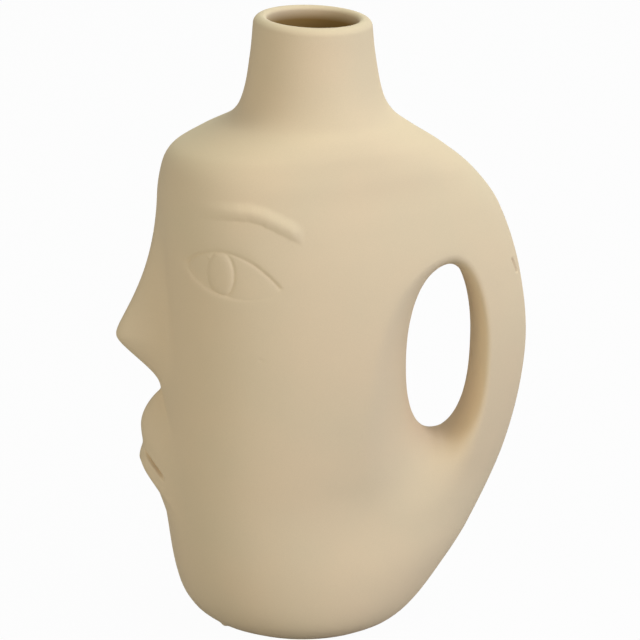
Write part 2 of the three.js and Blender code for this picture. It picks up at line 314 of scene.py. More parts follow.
def relief(y, z):
    """Nose and lips together at a point of the face."""
    across = np.abs(y)
    wide = NOSE_HALF * (1 - NOSE_NARROWING * np.clip((z - NOSE_TIP) / NOSE_LENGTH, 0, 1))
    ridge = nose(z) * (1 - soft(across / wide)) ** NOSE_EASE
    level = z + droop(across)
    crisp = np.sqrt(1 - np.clip(across / LIP_HALF, 0, 1) ** 2)
    gentle = 1 - soft(across / LIP_SPREAD)
    down = soft((LIP_TOP - level) / UPPER_LIP)
    fill = MOUTH_FILL * soft(across / FILL_START) * down
    return np.maximum(ridge, lips(level, fill) * (crisp + (gentle - crisp) * (0.7 + 0.3 * down)))


def skin_points(turn, z):
    """Points of the outer skin at angles round the body, 0 at the face."""
    c = np.cos(turn)
    face, back = line(FACE, z), line(BACK, z)
    y = -line(HALF, z) * np.sin(turn) * narrowing(c, z, HANDLE_PINCH)
    x = (back - face - (back + face) * c) / 2
    x = np.where(c > 0, x - relief(y, z), x)
    return np.stack([x, y, z], axis=-1)


def side_turn(x, z):
    """Angle round the body of a place seen from the side."""
    face, back = line(FACE, z), line(BACK, z)
    return np.arccos(np.clip((back - face - 2 * x) / (back + face), -1, 1))


def side_reach(x, z):
    """Half thickness of the body at a place seen from the side."""
    turn = side_turn(x, z)
    return line(HALF, z) * np.sin(turn) * narrowing(np.cos(turn), z, HANDLE_PINCH)


def inside_points(turn, z, shrink):
    """Points of the inside, a wall's thickness within the skin and clear of the finger gap."""
    level = np.minimum(z + ROOF_LIFT * soft(2 * z / SHOULDER - 0.5), HEIGHT)
    thick = WALL + shrink
    past = np.abs(z - GAP_MIDDLE) - GAP_HEIGHT / 2
    beside = 1 - soft((past + WALL) / (5 * WALL))
    held = REAR_WALL * tail(z) + (HANDLE + GAP_WIDTH - REAR_WALL) * beside
    face = line(FACE, level) - thick
    back = line(BACK, level) - thick - held
    c = np.cos(turn)
    x = (back - face - (back + face) * c) / 2
    tilt = (side_reach(x + CLEAR, level) - side_reach(x - CLEAR, level)) / (2 * CLEAR)
    most = side_reach(x, level) - thick * np.hypot(1, tilt)
    own = (line(HALF, level) - thick) * narrowing(c, level, INSIDE_PINCH) * np.abs(np.sin(turn))
    y = np.clip(most, 0.2 * own, own)
    return np.stack([x, -y, z], axis=-1)


def gap_points(angle, bend):
    """Points of the finger gap: bend 0 in its throat and a quarter turn where it meets the skin."""
    way_x, way_z = np.cos(angle) / GAP_WIDTH, np.sin(angle) / GAP_HEIGHT
    length = np.hypot(way_x, way_z)
    way_x, way_z = way_x / length, way_z / length
    toward = (1 - way_x * math.sin(SCOOP_TURN) - way_z * math.cos(SCOOP_TURN)) / 2
    behind = (1 + way_x) / 2
    wide = GAP_ROUND * (1 - GAP_TIGHTEN * behind**4) + GAP_SCOOP * toward**3
    out = wide * (1 - math.cos(bend))
    end = np.where(np.sin(angle) < 0, GAP_BLUNT, 1.0)
    up = GAP_HEIGHT / 2 * full(np.sin(angle), end) + out * way_z
    x = GAP_CENTRE + GAP_WIDTH / 2 * full(np.cos(angle), end) + out * way_x + GAP_LEAN * up
    z = GAP_MIDDLE + up
    rise = math.sin(bend) ** (1 - GAP_WALL * behind**2)
    return np.stack([x, -side_reach(x, z) * rise, z], axis=-1)


# Rows of the flat pattern, evenly spaced along the steepest of the body's lines
TRACK_Z = np.linspace(0, HEIGHT - RIM_DROP, 1200)
TRACK = np.concatenate(
    [
        [0],
        np.cumsum(
            np.hypot(
                np.diff(TRACK_Z),
                np.max([np.abs(np.diff(line(c, TRACK_Z))) for c in (FACE, BACK, HALF)], axis=0),
            )
        ),
    ]
)


def near_curve(curve, x, z):
    """Distance of each place to a drawn curve."""
    best = np.full(len(x), 1.0)
    for (ax, az), (bx, bz) in zip(curve[:-1], curve[1:]):
        dx, dz = bx - ax, bz - az
        t = np.clip(((x - ax) * dx + (z - az) * dz) / (dx * dx + dz * dz), 0, 1)
        best = np.minimum(best, np.hypot(x - ax - t * dx, z - az - t * dz))
    return best


def lid_heights(share):
    """Heights of the upper and the lower lid along the eye."""
    s = np.clip(share, 0, 1)
    chord = EYE_FRONT[1] + (EYE_BACK[1] - EYE_FRONT[1]) * s
    upper = chord + UPPER_LID * s**0.75 * (1 - s) ** 0.95
    lower = chord - LOWER_LID * s**0.5 * (1 - s) ** 0.7
    return upper, lower


def eye_relief(x, z, sizes):
    """Sunk eye with a groove under its upper lid, a raised lower lid and a domed iris."""
    span = EYE_BACK[0] - EYE_FRONT[0]
    share = (x - EYE_FRONT[0]) / span
    s = np.clip(share, 0, 1)
    steps = 0.5 - 0.5 * np.cos(np.linspace(0, math.pi, 60))
    steps_x = EYE_FRONT[0] + span * steps
    upper, lower = lid_heights(steps)
    to_upper = near_curve(np.stack([steps_x, upper], axis=1), x, z)
    to_lower = near_curve(np.stack([steps_x, lower], axis=1), x, z)
    top, foot = lid_heights(share)
    inside = (share > 0) & (share < 1) & (z < top) & (z > foot)

    groove = sizes.lid_groove * (1 - 0.4 * soft(s / 0.3) + 0.15 * soft((s - 0.4) / 0.5))
    sunk_low = sizes.eye_depth * (0.14 + 0.86 * (1 - soft((s - 0.2) / 0.45)))
    sunk_high = 0.45 * sizes.eye_depth
    rise = np.clip((z - foot) / np.maximum(top - foot, 1e-6), 0, 1)
    floor = -(sunk_low + (sunk_high - sunk_low) * rise)
    within = floor - (groove - sunk_high) * np.exp(-to_upper / GROOVE_FADE_IN)

    a, b = IRIS_HALF
    off = np.hypot((x - IRIS_MIDDLE[0]) / a, (z - IRIS_MIDDLE[1]) / b)
    dome = np.where(off < 1, 1 - off**4, 0) * soft(to_upper / DOME_OFF_UPPER)
    dome = dome * soft(to_lower / DOME_OFF_LOWER)
    right = soft((x - IRIS_MIDDLE[0]) / (2 * a) + 0.5)
    rim = (0.35 + 0.65 * right) * np.exp(-np.abs(off - 1) * a / IRIS_LINE)
    score = sizes.iris_groove * rim * soft(to_upper / IRIS_LINE_OFF)
    within = within + sizes.iris_proud * dome - score

    ridge = to_lower / LID_RIM_OFF * np.exp(1 - to_lower / LID_RIM_OFF)
    chord = EYE_FRONT[1] + (EYE_BACK[1] - EYE_FRONT[1]) * s
    front = (1 - soft((s - 0.25) / 0.45)) * soft((chord - z) / LID_RIM_FADE)
    fade_out = GROOVE_FADE_OUT - GROOVE_FADE_LESS * soft((s - 0.55) / 0.4)
    above = -groove * np.exp(-to_upper / fade_out)
    below = -sunk_low * np.exp(-to_lower / SINK_FADE) + sizes.lid_rim * ridge * front
    upside = soft((z - chord) / LIDS_BLEND + 0.5)
    scored = 0.2 * sizes.eye_depth * soft((s - 0.3) / 0.2) * (1 - soft((s - 0.85) / 0.1))
    crumb = CRUMB_HIGH * np.exp(-((np.hypot(x - CRUMB[0], z - CRUMB[1]) / CRUMB_WIDTH) ** 2))
    marks = crumb - scored * np.exp(-to_lower / SCORE_FADE)
    return marks + np.where(inside, within, upside * above + (1 - upside) * below)


def brow_relief(x, z, sizes):
    """Brow: a soft top that falls over a crest to a crisp, slightly ragged lower edge."""
    curve_x = np.linspace(BROW_FRONT - BROW_SPARE, BROW_BACK + BROW_SPARE, 60)

    def edge(at):
        ragged = sum(high * np.sin(often * at + start) for high, often, start in BROW_RAGGED)
        past = at - BROW_KNEE[0]
        arch = np.hypot(past, BROW_ROUND) - BROW_ROUND
        return BROW_KNEE[1] - BROW_SLOPE * past - BROW_ARCH * arch + ragged

    up = near_curve(np.stack([curve_x, edge(curve_x)], axis=1), x, z) * np.sign(z - edge(x))
    under = swell(up / BROW_CREST)
    over = 0.5 + 0.5 * np.cos(np.clip((up - BROW_CREST) / (BROW_DEEP - BROW_CREST), 0, 1) * math.pi)
    body = np.where(up < BROW_CREST, under, over) * (up > 0)
    fade = soft((x - BROW_FRONT) / BROW_FADE_FRONT) * soft((BROW_BACK - x) / BROW_FADE_BACK)
    return sizes.brow_proud * fade * body


def slit_relief(y, z, sizes):
    """Slit of the mouth toward its corners."""
    across = np.abs(y)
    off = (z - MOUTH_LINE + droop(across)) / math.hypot(1, MOUTH_DROOP)
    fade = soft((across - SLIT_START) / SLIT_FADE_IN) * soft((SLIT_END - across) / SLIT_FADE_OUT)
    return -sizes.slit_depth * fade * np.exp(-((off / SLIT_WIDTH) ** 2))


def flat_places(bm):
    """Angles and heights of the flat pattern's vertices."""
    co = np.array([v.co for v in bm.verts])
    return co[:, 0] / FLAT, np.interp(co[:, 1], TRACK, TRACK_Z)


def flat_half(sizes):
    """Flat pattern of one half: the angle round the body runs across, the height runs up."""
    bm = bmesh.new()
    bm.verts.layers.float.new("turn")
    bm.verts.layers.float.new("gap_angle")
    bmesh.ops.create_grid(bm, x_segments=sizes.columns, y_segments=sizes.rows, size=0.5)
    for v in bm.verts:
        s = math.pi * (v.co.x + 0.5)
        v.co = ((s - FACE_CROWD * math.sin(s)) * FLAT, (v.co.y + 0.5) * TRACK[-1], 0)
    return bm


def within_outline(outline, places):
    """Which places lie within a closed outline."""
    crossings = np.zeros(len(places), int)
    for (ax, ay), (bx, by) in zip(outline, np.roll(outline, -1, axis=0)):
        spans = (places[:, 1] < ay) != (places[:, 1] < by)
        at = ax + (places[:, 1] - ay) / (by - ay if by != ay else 1) * (bx - ax)
        crossings += spans & (places[:, 0] < at)
    return crossings % 2 == 1


def edge_walk(start):
    """Points of an open edge in order, turning to the left round its hole."""
    walk, behind = [start], None
    while True:
        ways = [e.other_vert(walk[-1]) for e in walk[-1].link_edges if e.is_boundary]
        ahead = next(v for v in ways if v is not behind)
        if ahead is start:
            break
        behind = walk[-1]
        walk.append(ahead)
    x, y = np.array([v.co.xy for v in walk]).T
    area = np.sum(x * np.roll(y, -1) - y * np.roll(x, -1))
    return walk if area > 0 else walk[::-1]


def open_gap(bm):
    """Opens the outer edge of the finger gap in the flat pattern and keeps each point's angle."""
    angles = np.linspace(0, 2 * math.pi, GAP_STEPS + 1)
    edge = gap_points(angles, math.pi / 2)
    turn = side_turn(edge[:, 0], edge[:, 2])
    outline = np.stack([turn * FLAT, np.interp(edge[:, 2], TRACK_Z, TRACK)], axis=1)

    bm.verts.ensure_lookup_table()
    places = np.array([v.co.xy for v in bm.verts])
    inside = within_outline(outline[:-1], places)
    gone = [f for f in bm.faces if any(inside[v.index] for v in f.verts)]
    bmesh.ops.delete(bm, geom=gone, context="FACES")

    right, top = math.pi * FLAT - SAME_PLACE, TRACK[-1] - SAME_PLACE
    start = next(
        v
        for v in bm.verts
        if v.is_boundary and SAME_PLACE < v.co.x < right and SAME_PLACE < v.co.y < top
    )
    hole = edge_walk(start)
    steps = np.concatenate([[0], np.cumsum(np.hypot(*np.diff(outline, axis=0).T))])
    spots = np.array([np.argmin(np.hypot(*(outline[:-1] - v.co.xy).T)) for v in hole])
    along = np.unwrap(steps[spots] / steps[-1] * 2 * math.pi)
    for _ in range(EDGE_EASINGS):
        before, after = np.roll(along, 1), np.roll(along, -1)
        before[0] -= 2 * math.pi
        after[-1] += 2 * math.pi
        along = 0.5 * along + 0.25 * (before + after)
    along = np.mod(along, 2 * math.pi) / (2 * math.pi) * steps[-1]

    gap_angle = bm.verts.layers.float["gap_angle"]
    for v, place in zip(hole, along):
        v[gap_angle] = np.interp(place, steps, angles) + 1
        v.co.x = np.interp(place, steps, outline[:, 0])
        v.co.y = np.interp(place, steps, outline[:, 1])
    rim = set(hole)
    near = [
        v
        for v in bm.verts
        if v not in rim and not v.is_boundary and np.min(np.hypot(*(outline - v.co.xy).T)) < GAP_NEAR
    ]
    for _ in range(NEAR_EASINGS):
        bmesh.ops.smooth_vert(bm, verts=near, factor=0.5, use_axis_x=True, use_axis_y=True)


def refine(bm, wanted, cuts):
    """Cuts the faces whose place on the side is wanted into smaller ones."""
    middles = np.array([face.calc_center_median() for face in bm.faces])
    points = skin_points(middles[:, 0] / FLAT, np.interp(middles[:, 1], TRACK, TRACK_Z))
    chosen = wanted(*points.T)
    edges = dict.fromkeys(e for face, hit in zip(bm.faces, chosen) if hit for e in face.edges)
    bmesh.ops.subdivide_edges(bm, edges=list(edges), cuts=cuts, use_grid_fill=True)


def boxed(x, z, box):
    """Which places lie in a box seen from the side."""
    front, back, low, high = box
    return (x > front) & (x < back) & (z > low) & (z < high)


def around_eye(x, _, z):
    """Place of the eye and the brow."""
    return boxed(x, z, EYE_PATCH)


def around_lips(x, y, z):
    """Place of the lips and the tip of the nose."""
    return boxed(x, z, LIP_PATCH) & (np.abs(y) < LIP_PATCH_HALF)


def around_slit(x, y, z):
    """Place of the mouth's slit."""
    across = np.abs(y)
    off = z - MOUTH_LINE + droop(across)
    along = (across > SLIT_PATCH_START) & (across < SLIT_END)
    return (x < FACE_FRONT) & along & (np.abs(off) < SLIT_PATCH_HALF)


def around_marks(x, _, z):
    """Places of the pit, the scratch and the burr."""
    pit = np.hypot(x - PIT[0], z - PIT[1]) < PIT_PATCH
    burr = np.hypot(x - BURR[0], z - BURR[1]) < BURR_PATCH
    return pit | burr | (near_curve(SCRATCH, x, z) < SCRATCH_PATCH)


def raise_half(bm, sizes):
    """Bends the flat pattern into the skin and raises the features on it."""
    turn_layer = bm.verts.layers.float["turn"]
    turn, z = flat_places(bm)
    points = skin_points(turn, z)
    for v, u, point in zip(bm.verts, turn, points):
        v[turn_layer] = u
        v.co = point
    bm.normal_update()
    x, y = points[:, 0], points[:, 1]
    side = boxed(x, z, EYE_SIDE) & (turn > EYE_TURN)
    lift = np.zeros(len(x))
    lift[side] = eye_relief(x[side], z[side], sizes) + brow_relief(x[side], z[side], sizes)
    lift += np.where(turn < SLIT_TURN, slit_relief(y, z, sizes), 0)
    for v, up in zip(bm.verts, lift):
        v.co += v.normal * float(up)


def pull(bm, edges, place):
    """Extrudes a loop of edges once and sets its new points."""
    made = bmesh.ops.extrude_edge_only(bm, edges=edges)["geom"]
    verts = [g for g in made if isinstance(g, bmesh.types.BMVert)]
    for v, point in zip(verts, place(verts)):
        v.co = point
    fresh = set(verts)
    return [e for e in dict.fromkeys(e for v in verts for e in v.link_edges) if set(e.verts) <= fresh]


def close_ring(bm, edges):
    """Closes a flat ring of edges with faces round its middle."""
    ring = list(dict.fromkeys(v for e in edges for v in e.verts))
    middle = sum((v.co for v in ring), Vector()) / len(ring)
    made = bmesh.ops.extrude_edge_only(bm, edges=edges)["geom"]
    inner = [g for g in made if isinstance(g, bmesh.types.BMVert)]
    bmesh.ops.pointmerge(bm, verts=inner, merge_co=middle)


def roll_gap(bm, sizes):
    """Rolls the edge of the finger gap in to its throat on the middle plane."""
    gap_angle = bm.verts.layers.float["gap_angle"]
    loop = [e for e in bm.edges if e.is_boundary and all(v[gap_angle] > 0 for v in e.verts)]
    for step in range(1, sizes.gap_rings + 1):
        bend = math.pi / 2 * (1 - step / sizes.gap_rings)

        def on_roll(verts):
            return gap_points(np.array([v[gap_angle] - 1 for v in verts]), bend)

        loop = pull(bm, loop, on_roll)


def mirror_half(bm):
    """Adds the right half as a mirror of the left."""
    geom = bm.verts[:] + bm.edges[:] + bm.faces[:]
    bmesh.ops.mirror(bm, geom=geom, matrix=Matrix.Identity(4), merge_dist=SAME_PLACE, axis="Y")


def ring_places(bm, verts):
    """Angles round the body of a ring's points, and their sides: -1 on the left and 1 on the right."""
    turn = bm.verts.layers.float["turn"]
    angles = np.array([v[turn] for v in verts])
    return angles, np.array([1 if v.co.y > 0 else -1 for v in verts])


def close_top(bm):
    """Carries the skin over the rim, down the neck and along the inside to the floor."""
    top = HEIGHT - RIM_DROP
    outer = float(line(FACE, np.array(top)))
    crown = outer - RIM_CROWN
    lip = crown - MOUTH_RADIUS
    profile = []
    for a in np.linspace(0, math.pi / 2, CROWN_RINGS + 1)[1:]:
        profile.append((crown + (outer - crown) * math.cos(a), top + RIM_DROP * math.sin(a)))
    for a in np.linspace(math.pi / 2, math.pi, ROLL_RINGS + 1)[1:]:
        profile.append((crown + lip * math.cos(a), HEIGHT - RIM_ROLL * (1 - math.sin(a))))
    low = NECK_ROOT - WALL
    for t in np.linspace(0, 1, NECK_RINGS + 1)[1:]:
        start = HEIGHT - RIM_ROLL
        profile.append((MOUTH_RADIUS + (low - MOUTH_RADIUS) * t, start + (SHOULDER - start) * t))

    high = top - SAME_LEVEL
    loop = [e for e in bm.edges if e.is_boundary and min(v.co.z for v in e.verts) > high]
    for radius, z in profile:

        def on_neck(verts):
            turn, side = ring_places(bm, verts)
            level = np.full(len(turn), z)
            return np.stack([-radius * np.cos(turn), side * radius * np.sin(turn), level], axis=1)

        loop = pull(bm, loop, on_neck)
    for z in np.linspace(SHOULDER, SLAB, INSIDE_RINGS + 1)[1:]:

        def on_inside(verts):
            turn, side = ring_places(bm, verts)
            points = inside_points(turn, np.full(len(turn), z), 0.0)
            return points * np.stack([np.ones(len(turn)), -side, np.ones(len(turn))], axis=1)

        loop = pull(bm, loop, on_inside)
    close_ring(bm, loop)


def close_foot(bm):
    """Closes the flat underside inside a crisp foot edge."""
    loop = [e for e in bm.edges if e.is_boundary and max(v.co.z for v in e.verts) < SAME_LEVEL]
    for edge in loop:
        edge.smooth = False
    for share in FOOT_RINGS:
        loop = pull(bm, loop, lambda verts: [v.co * share for v in verts])
    close_ring(bm, loop)


def slant_rim(bm):
    """Slants the hand-cut rim a little down toward the left side and the handle."""
    for v in bm.verts:
        turn = math.atan2(v.co.y, v.co.x)
        rise = float(soft((v.co.z - SHOULDER) / NECK_HEIGHT))
        v.co.z -= RIM_SLANT * (1 + math.cos(turn - SLANT_TURN)) * rise


def mark_shaded_glaze(bm):
    """Marks how far the dark tint covers each point, glaze and painted shade of the bore together: the
    neck's inner faces, fading out just under the rim.
    """
    glaze_and_shade = bm.verts.layers.float.new("glaze_and_shade")
    for v in bm.verts:
        radius = math.hypot(v.co.x, v.co.y)
        bore = v.co.z > SHOULDER and radius < NECK_ROOT - WALL + CLEAR
        inward = v.normal.x * v.co.x + v.normal.y * v.co.y < 0
        if bore and inward:
            v[glaze_and_shade] = float(soft((HEIGHT - SHADED_GLAZE_DROP - v.co.z) / SHADED_GLAZE_FADE))


def small_marks(bm):
    """Nicks of the making on the left side: a pit, a seam scratch and a burr at the foot."""
    left = [v for v in bm.verts if v.co.y < -SEAM_HALF]
    x, y, z = np.array([v.co for v in left]).T
    pit = np.exp(-((np.hypot(x - PIT[0], z - PIT[1]) / PIT_WIDTH) ** 2)) * (y < -PIT_OUT)
    scratch = np.exp(-((near_curve(SCRATCH, x, z) / SCRATCH_WIDTH) ** 2)) * (y > -EDGE_HALF)
    burr = np.exp(-((np.hypot(x - BURR[0], z - BURR[1]) / BURR_WIDTH) ** 2)) * (y < -EDGE_HALF)
    for v, up in zip(left, BURR_HIGH * burr - PIT_DEPTH * pit - SCRATCH_DEPTH * scratch):
        v.co += v.normal * float(up)


def finish_mesh(bm, name, material):
    """Turns a bmesh into a named, smooth-shaded piece."""
    for face in bm.faces:
        face.smooth = True
    mesh = bpy.data.meshes.new(name)
    bm.to_mesh(mesh)
    bm.free()
    mesh.materials.append(material)
    piece = bpy.data.objects.new(name, mesh)
    bpy.context.scene.collection.objects.link(piece)
    return piece


def add_node(tree, kind, **values):
    """Adds a shader node and sets its values."""
    node = tree.nodes.new(kind)
    for key, value in values.items():
        if key in node.inputs:
            node.inputs[key].default_value = value
        else:
            setattr(node, key, value)
    return node


def clay_material(finish):
    """Bare buff clay outside: faint warm and cool clouds, fine grain and soft hand-smoothed waves; in the
    neck's bore a dark glaze tint that is also painted shade.
    """
    material = bpy.data.materials.new("bisque_clay")
    material.use_nodes = True
    tree = material.node_tree
    link = tree.links.new
    shader = tree.nodes["Principled BSDF"]
    shader.inputs["Specular IOR Level"].default_value = 0.25
    place = add_node(tree, "ShaderNodeTexCoord")

    clouds = add_node(tree, "ShaderNodeTexNoise", Scale=26.0, Detail=2.0, Roughness=0.45)
    link(place.outputs["Object"], clouds.inputs["Vector"])
    tint = add_node(tree, "ShaderNodeValToRGB")
    tint.color_ramp.elements[0].position = 0.36
    tint.color_ramp.elements[0].color = (*finish.clay_cool, 1)
    tint.color_ramp.elements[1].position = 0.64
    tint.color_ramp.elements[1].color = (*finish.clay_warm, 1)
    link(clouds.outputs["Fac"], tint.inputs["Fac"])

    grain = add_node(tree, "ShaderNodeTexNoise", Scale=2600.0, Detail=2.0, Roughness=0.6)
    link(place.outputs["Object"], grain.inputs["Vector"])
    speck = add_node(tree, "ShaderNodeMapRange")
    speck.inputs["From Min"].default_value = 0.3
    speck.inputs["From Max"].default_value = 0.7
    speck.inputs["To Min"].default_value = 0.975
    speck.inputs["To Max"].default_value = 1.02
    link(grain.outputs["Fac"], speck.inputs["Value"])
    colour = add_node(tree, "ShaderNodeVectorMath", operation="SCALE")
    link(tint.outputs["Color"], colour.inputs[0])
    link(speck.outputs["Result"], colour.inputs["Scale"])
    # Glaze colour mixed in where the bore is marked: glaze lining darkened as painted shade inside the neck
    glaze_and_shade = add_node(tree, "ShaderNodeAttribute", attribute_name="glaze_and_shade")
    shaded_glaze_mix = add_node(tree, "ShaderNodeVectorMath", operation="MULTIPLY_ADD")
    to_shaded_glaze = add_node(tree, "ShaderNodeVectorMath", operation="SUBTRACT")
    to_shaded_glaze.inputs[0].default_value = finish.glaze
    link(colour.outputs["Vector"], to_shaded_glaze.inputs[1])
    link(to_shaded_glaze.outputs["Vector"], shaded_glaze_mix.inputs[0])
    link(glaze_and_shade.outputs["Fac"], shaded_glaze_mix.inputs[1])
    link(colour.outputs["Vector"], shaded_glaze_mix.inputs[2])
    link(shaded_glaze_mix.outputs["Vector"], shader.inputs["Base Color"])

    rough = add_node(tree, "ShaderNodeMapRange")
    rough.inputs["To Min"].default_value = finish.clay_roughness - 0.05
    rough.inputs["To Max"].default_value = finish.clay_roughness + 0.05
    link(clouds.outputs["Fac"], rough.inputs["Value"])
    sheen = add_node(tree, "ShaderNodeMapRange")
    sheen.inputs["To Max"].default_value = finish.glaze_roughness
    link(glaze_and_shade.outputs["Fac"], sheen.inputs["Value"])
    link(rough.outputs["Result"], sheen.inputs["To Min"])
    link(sheen.outputs["Result"], shader.inputs["Roughness"])

    waves = add_node(tree, "ShaderNodeTexNoise", Scale=60.0, Detail=1.0, Roughness=0.4)
    link(place.outputs["Object"], waves.inputs["Vector"])
    swell_bump = add_node(tree, "ShaderNodeBump", Strength=0.12, Distance=0.0006)
    link(waves.outputs["Fac"], swell_bump.inputs["Height"])
    grain_bump = add_node(tree, "ShaderNodeBump", Strength=0.2, Distance=finish.grain_depth)
    link(grain.outputs["Fac"], grain_bump.inputs["Height"])
    link(swell_bump.outputs["Normal"], grain_bump.inputs["Normal"])
    link(grain_bump.outputs["Normal"], shader.inputs["Normal"])
    return material


def shaded_glaze_material(finish):
    """Thin honey glaze over clay, pooled a little darker in places, its dark tone partly painted shade of
    the inside.
    """
    material = bpy.data.materials.new("inner_glaze")
    material.use_nodes = True
    tree = material.node_tree
    link = tree.links.new
    shader = tree.nodes["Principled BSDF"]
    place = add_node(tree, "ShaderNodeTexCoord")
    pools = add_node(tree, "ShaderNodeTexNoise", Scale=70.0, Detail=3.0, Roughness=0.5)
    link(place.outputs["Object"], pools.inputs["Vector"])
    tint = add_node(tree, "ShaderNodeValToRGB")
    tint.color_ramp.elements[0].position = 0.35
    tint.color_ramp.elements[0].color = (*[0.8 * c for c in finish.glaze], 1)
    tint.color_ramp.elements[1].position = 0.7
    tint.color_ramp.elements[1].color = (*finish.glaze, 1)
    link(pools.outputs["Fac"], tint.inputs["Fac"])
    link(tint.outputs["Color"], shader.inputs["Base Color"])
    rough = add_node(tree, "ShaderNodeMapRange")
    rough.inputs["To Min"].default_value = 0.28
    rough.inputs["To Max"].default_value = 0.42
    link(pools.outputs["Fac"], rough.inputs["Value"])
    link(rough.outputs["Result"], shader.inputs["Roughness"])
    runs = add_node(tree, "ShaderNodeBump", Strength=0.1, Distance=0.0004)
    link(pools.outputs["Fac"], runs.inputs["Height"])
    link(runs.outputs["Normal"], shader.inputs["Normal"])
    return material


class VaseSizes(bpy.types.PropertyGroup):
    """Depths of the features and fineness of the skin."""

    eye_depth: FloatProperty(
        name="Eye depth", description="How deep the eye is sunk at its front", default=0.0006, unit="LENGTH"
    )
    lid_groove: FloatProperty(
        name="Lid groove", description="Depth of the groove under the lid", default=0.0013, unit="LENGTH"
    )
    lid_rim: FloatProperty(
        name="Lower lid", description="Height of the lower lid's rim", default=0.0002, unit="LENGTH"
    )
    iris_proud: FloatProperty(
        name="Iris", description="Height of the iris's dome", default=0.0006, unit="LENGTH"
    )
    iris_groove: FloatProperty(
        name="Iris groove", description="Depth of the line round the iris", default=0.00045, unit="LENGTH"
    )
    brow_proud: FloatProperty(
        name="Brow", description="Height of the brow's crest", default=0.0011, unit="LENGTH"
    )
    slit_depth: FloatProperty(
        name="Mouth slit", description="Depth at the mouth's corners", default=0.0032, unit="LENGTH"
    )
    columns: IntProperty(name="Columns", description="Faces round one half", default=76, min=24)
    rows: IntProperty(name="Rows", description="Faces from the foot to the rim", default=142, min=40)
    gap_rings: IntProperty(
        name="Gap rings", description="Rings from the skin to the throat", default=14, min=4
    )


class VaseFinish(bpy.types.PropertyGroup):
    """Colours and surface of the clay and the glaze."""

    clay_cool: FloatVectorProperty(
        name="Clay, cool",
        description="Cooler of the clay's two tints",
        subtype="COLOR",
        default=(0.702, 0.572, 0.397),
        min=0,
        max=1,
    )
    clay_warm: FloatVectorProperty(
        name="Clay, warm",
        description="Warmer of the clay's two tints",
        subtype="COLOR",
        default=(0.728, 0.580, 0.401),
        min=0,
        max=1,
    )
    clay_roughness: FloatProperty(
        name="Clay roughness", description="Mean roughness of the bare clay", default=0.9, min=0, max=1
    )
    glaze_roughness: FloatProperty(
        name="Glaze roughness", description="Roughness of the glaze inside", default=0.4, min=0, max=1
    )
    grain_depth: FloatProperty(
        name="Grain", description="Depth of the clay's grain", default=0.00012, unit="LENGTH"
    )
    # Dark glaze colour: the lining's own colour, darkened as painted shade of the inside
    glaze: FloatVectorProperty(
        name="Glaze",
        description="Colour of the glaze inside",
        subtype="COLOR",
        default=(0.30, 0.185, 0.062),
        min=0,
        max=1,
    )


class VaseStudio(bpy.types.PropertyGroup):
    """Lamps and camera."""

    key_power: FloatProperty(name="Key", description="Power of the key lamp", default=16.0, unit="POWER")
    front_power: FloatProperty(
        name="Front", description="Power of the front lamp", default=10.0, unit="POWER"
    )
    top_power: FloatProperty(
        name="Top", description="Power of the lamp above the handle", default=11.4, unit="POWER"
    )
    back_power: FloatProperty(
        name="Back", description="Power of the lamp behind", default=5.0, unit="POWER"
    )
    sky: FloatProperty(name="Sky", description="Strength of the even light", default=0.22, min=0)
    azimuth: FloatProperty(
        name="Azimuth", description="Camera's turn round the vase", default=math.radians(-8), subtype="ANGLE"
    )
    elevation: FloatProperty(
        name="Elevation", description="Camera's height angle", default=math.radians(16.5), subtype="ANGLE"
    )
    distance: FloatProperty(
        name="Distance", description="Camera's distance", default=1.3, unit="LENGTH"
    )
    lens: FloatProperty(name="Lens", description="Focal length in millimetres", default=173.25)


class VASE_OT_fired_body(bpy.types.Operator):
    """Models the clay body as one fired skin with the face, the handle, the neck and the foot"""

    bl_idname = "vase.fired_body"
    bl_label = "Fired clay body"

    def execute(self, context):
        sizes = context.scene.vase_sizes
        bm = flat_half(sizes)
        open_gap(bm)
        refine(bm, around_eye, EYE_CUTS)
        refine(bm, around_lips, LIP_CUTS)
        refine(bm, around_slit, SLIT_CUTS)
        refine(bm, around_marks, MARK_CUTS)
        raise_half(bm, sizes)
        roll_gap(bm, sizes)
        mirror_half(bm)
        close_top(bm)
        close_foot(bm)
        bmesh.ops.remove_doubles(bm, verts=bm.verts[:], dist=SAME_PLACE)
        bmesh.ops.recalc_face_normals(bm, faces=bm.faces[:])
        bm.normal_update()
        small_marks(bm)
        mark_shaded_glaze(bm)
        slant_rim(bm)
        body = finish_mesh(bm, "fired_body", clay_material(context.scene.vase_finish))
        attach(body, "root")
        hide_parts(*CLAY_NODES)
        return {"FINISHED"}


class VASE_OT_glaze_lining(bpy.types.Operator):
    """Models the glaze coat on the inside of the body"""

    bl_idname = "vase.glaze_lining"
    bl_label = "Glaze lining"

    def execute(self, context):
        bm = bmesh.new()
        bmesh.ops.create_grid(bm, x_segments=COAT_GRID, y_segments=COAT_GRID, size=0.5)
        for v in bm.verts:
            turn = math.pi * (v.co.x + 0.5)
            z = SLAB + CLEAR + (SHOULDER - SLAB - 2 * CLEAR) * (v.co.y + 0.5)
            v.co = inside_points(np.array(turn), np.array(z), CLEAR)
        mirror_half(bm)
        low = SLAB + CLEAR + SAME_LEVEL
        floor = [e for e in bm.edges if e.is_boundary and max(v.co.z for v in e.verts) < low]
        close_ring(bm, floor)
        bmesh.ops.recalc_face_normals(bm, faces=bm.faces[:])
        bmesh.ops.solidify(bm, geom=bm.faces[:], thickness=COAT)
        lining = finish_mesh(bm, "inner_glaze_coat", shaded_glaze_material(context.scene.vase_finish))
        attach(lining, "root")
        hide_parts("glaze_lining")
        return {"FINISHED"}


def outward(turn, rise):
    """Direction away from the vase at a turn round it and a rise above the floor."""
    flat = math.cos(rise)
    return Vector((math.sin(turn) * flat, -math.cos(turn) * flat, math.sin(rise)))


